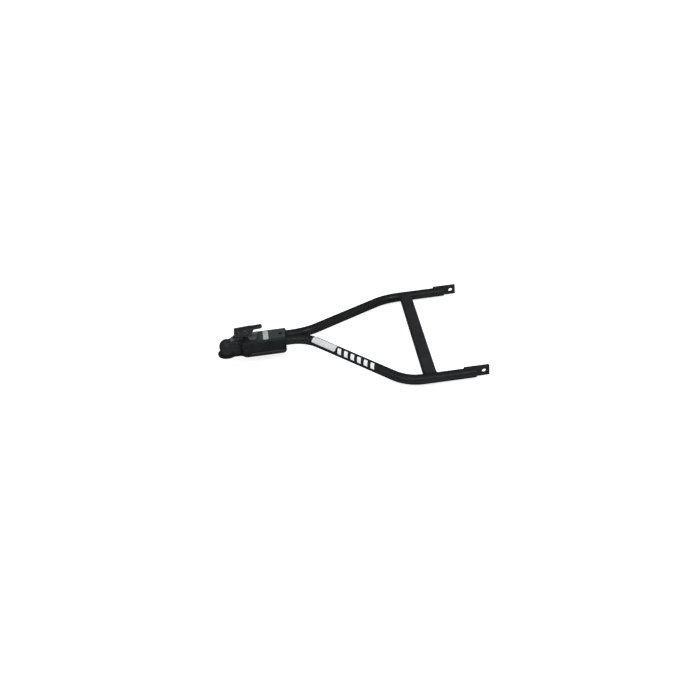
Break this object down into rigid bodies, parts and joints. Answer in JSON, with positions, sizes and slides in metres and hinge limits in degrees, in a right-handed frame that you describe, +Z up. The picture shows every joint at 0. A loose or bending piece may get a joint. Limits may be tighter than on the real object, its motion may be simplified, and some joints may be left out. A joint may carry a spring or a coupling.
{
  "type": "a-frame tow bar",
  "caption": "Triangular towing frame of bent round tubes and a crossbar, with pin lugs at the rear ends and a lever-latched ball coupler at the nose.",
  "frame": {"origin": "centre of the hitch ball in the closed coupler", "axes": "+X rearward from the ball to the pin lugs, +Z up, +Y across to the right leg: the left leg, nearest the camera in the picture, is at -Y"},
  "size_m": [1.0019, 0.6476, 0.1624],
  "materials": {
    "black_paint": "satin black powder coat",
    "zinc_plate": "zinc plated",
    "bare_steel": "plain dark steel"
  },
  "bodies": {
    "frame": {"left_tube": "black_paint", "right_tube": "black_paint", "crossbar": "black_paint", "left_lug": "black_paint", "right_lug": "black_paint", "coupler_housing": "black_paint", "cam_plate": "black_paint", "jaw_pin": "bare_steel", "jaw_spacers": "bare_steel", "spring_seat": "zinc_plate", "latch_spring": "bare_steel"},
    "stem": {"latch_stem": "zinc_plate", "spring_collar": "zinc_plate", "jaw_rocker": "bare_steel", "stem_nut": "zinc_plate"},
    "jaw": {"ball_jaw": "bare_steel"},
    "lever": {"latch_lever": "black_paint", "lever_pin": "zinc_plate", "lever_pin_clip": "bare_steel", "trigger_pin": "bare_steel", "trigger_spring": "bare_steel"},
    "trigger": {"trigger": "zinc_plate"}
  },
  "joints": [
    {"name": "stem_drop", "type": "slide", "parent": "frame", "child": "stem", "axis": [0, 0, -1], "range_m": [0, 0.0065], "deforming": ["latch_spring"]},
    {"name": "lever_lift", "type": "hinge", "parent": "stem", "child": "lever", "pos_m": [0.05, 0, 0.0605], "axis": [0, -1, 0], "range_deg": [0, 90]},
    {"name": "jaw_swing", "type": "hinge", "parent": "frame", "child": "jaw", "pos_m": [0.076, 0, -0.003], "axis": [0, -1, 0], "range_deg": [0, 12.85]},
    {"name": "trigger_squeeze", "type": "hinge", "parent": "lever", "child": "trigger", "pos_m": [0.082, 0, 0.06], "axis": [0, -1, 0], "range_deg": [0, 12], "stiffness_Nm_per_rad": 0.4, "springref_deg": -11.46}
  ],
  "couplings": [
    {"joint": "stem_drop", "follows": "lever_lift", "m_per_rad": 0.004138},
    {"joint": "jaw_swing", "follows": "lever_lift", "ratio": 0.14269}
  ]
}
